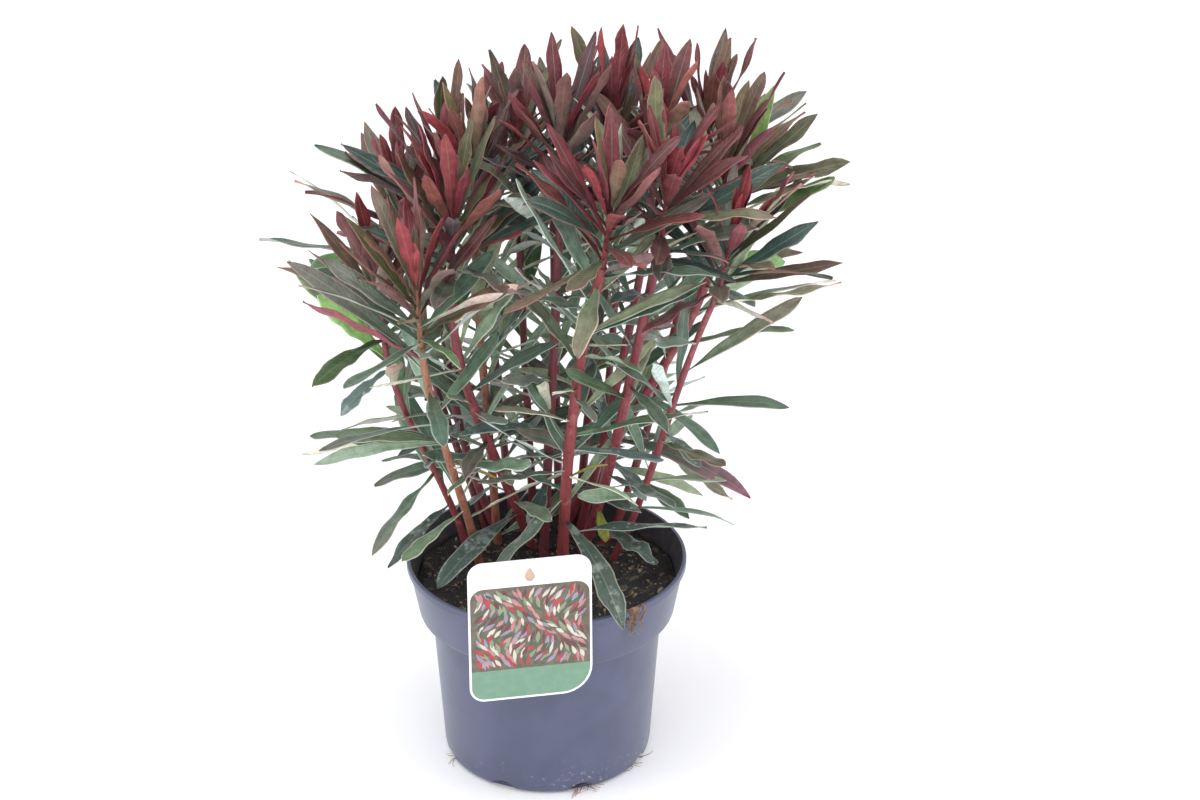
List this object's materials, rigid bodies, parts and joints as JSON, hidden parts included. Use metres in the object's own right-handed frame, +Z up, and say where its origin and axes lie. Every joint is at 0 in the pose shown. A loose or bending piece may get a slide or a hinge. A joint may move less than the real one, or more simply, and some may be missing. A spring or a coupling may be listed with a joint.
{
  "type": "potted euphorbia",
  "caption": "Bushy euphorbia with upright red stems, narrow green leaves and dark red leaf crowns, standing in soil in a blue-grey nursery pot with a pegged plant label.",
  "frame": {"origin": "centre of the pot's flat base, on the surface that the pot stands on", "axes": "+Z up along the pot's axis, -Y towards the side that carries the plant label, +X to its right"},
  "size_m": [0.3936, 0.3508, 0.51],
  "materials": {
    "pot": "satin",
    "soil": "matte",
    "label_card": "satin",
    "label_peg": "satin",
    "green_leaf": "satin",
    "red_leaf": "satin",
    "red_stem": "satin"
  },
  "bodies": {
    "root": {"pot": "pot", "soil": "soil", "label_card": "label_card", "label_peg": "label_peg", "stem_01": "green_leaf", "stem_02": "green_leaf", "stem_03": "green_leaf", "stem_04": "green_leaf", "stem_05": "green_leaf", "stem_06": "green_leaf", "stem_07": "green_leaf", "stem_08": "green_leaf", "stem_09": "green_leaf", "stem_10": "green_leaf", "stem_11": "green_leaf", "stem_12": "green_leaf", "stem_13": "green_leaf", "stem_14": "green_leaf", "stem_15": "green_leaf", "stem_16": "green_leaf", "stem_17": "green_leaf", "stem_18": "green_leaf", "head_01": "red_leaf", "head_02": "red_leaf", "head_03": "red_leaf", "head_04": "red_leaf", "head_05": "red_leaf", "head_06": "red_leaf", "head_07": "red_leaf", "head_08": "red_leaf", "head_09": "red_leaf", "head_10": "red_leaf", "head_11": "red_leaf", "head_12": "red_leaf", "head_13": "red_leaf", "head_14": "red_leaf", "head_15": "red_leaf", "head_16": "red_leaf", "head_17": "red_leaf", "head_18": "red_leaf"}
  },
  "joints": []
}
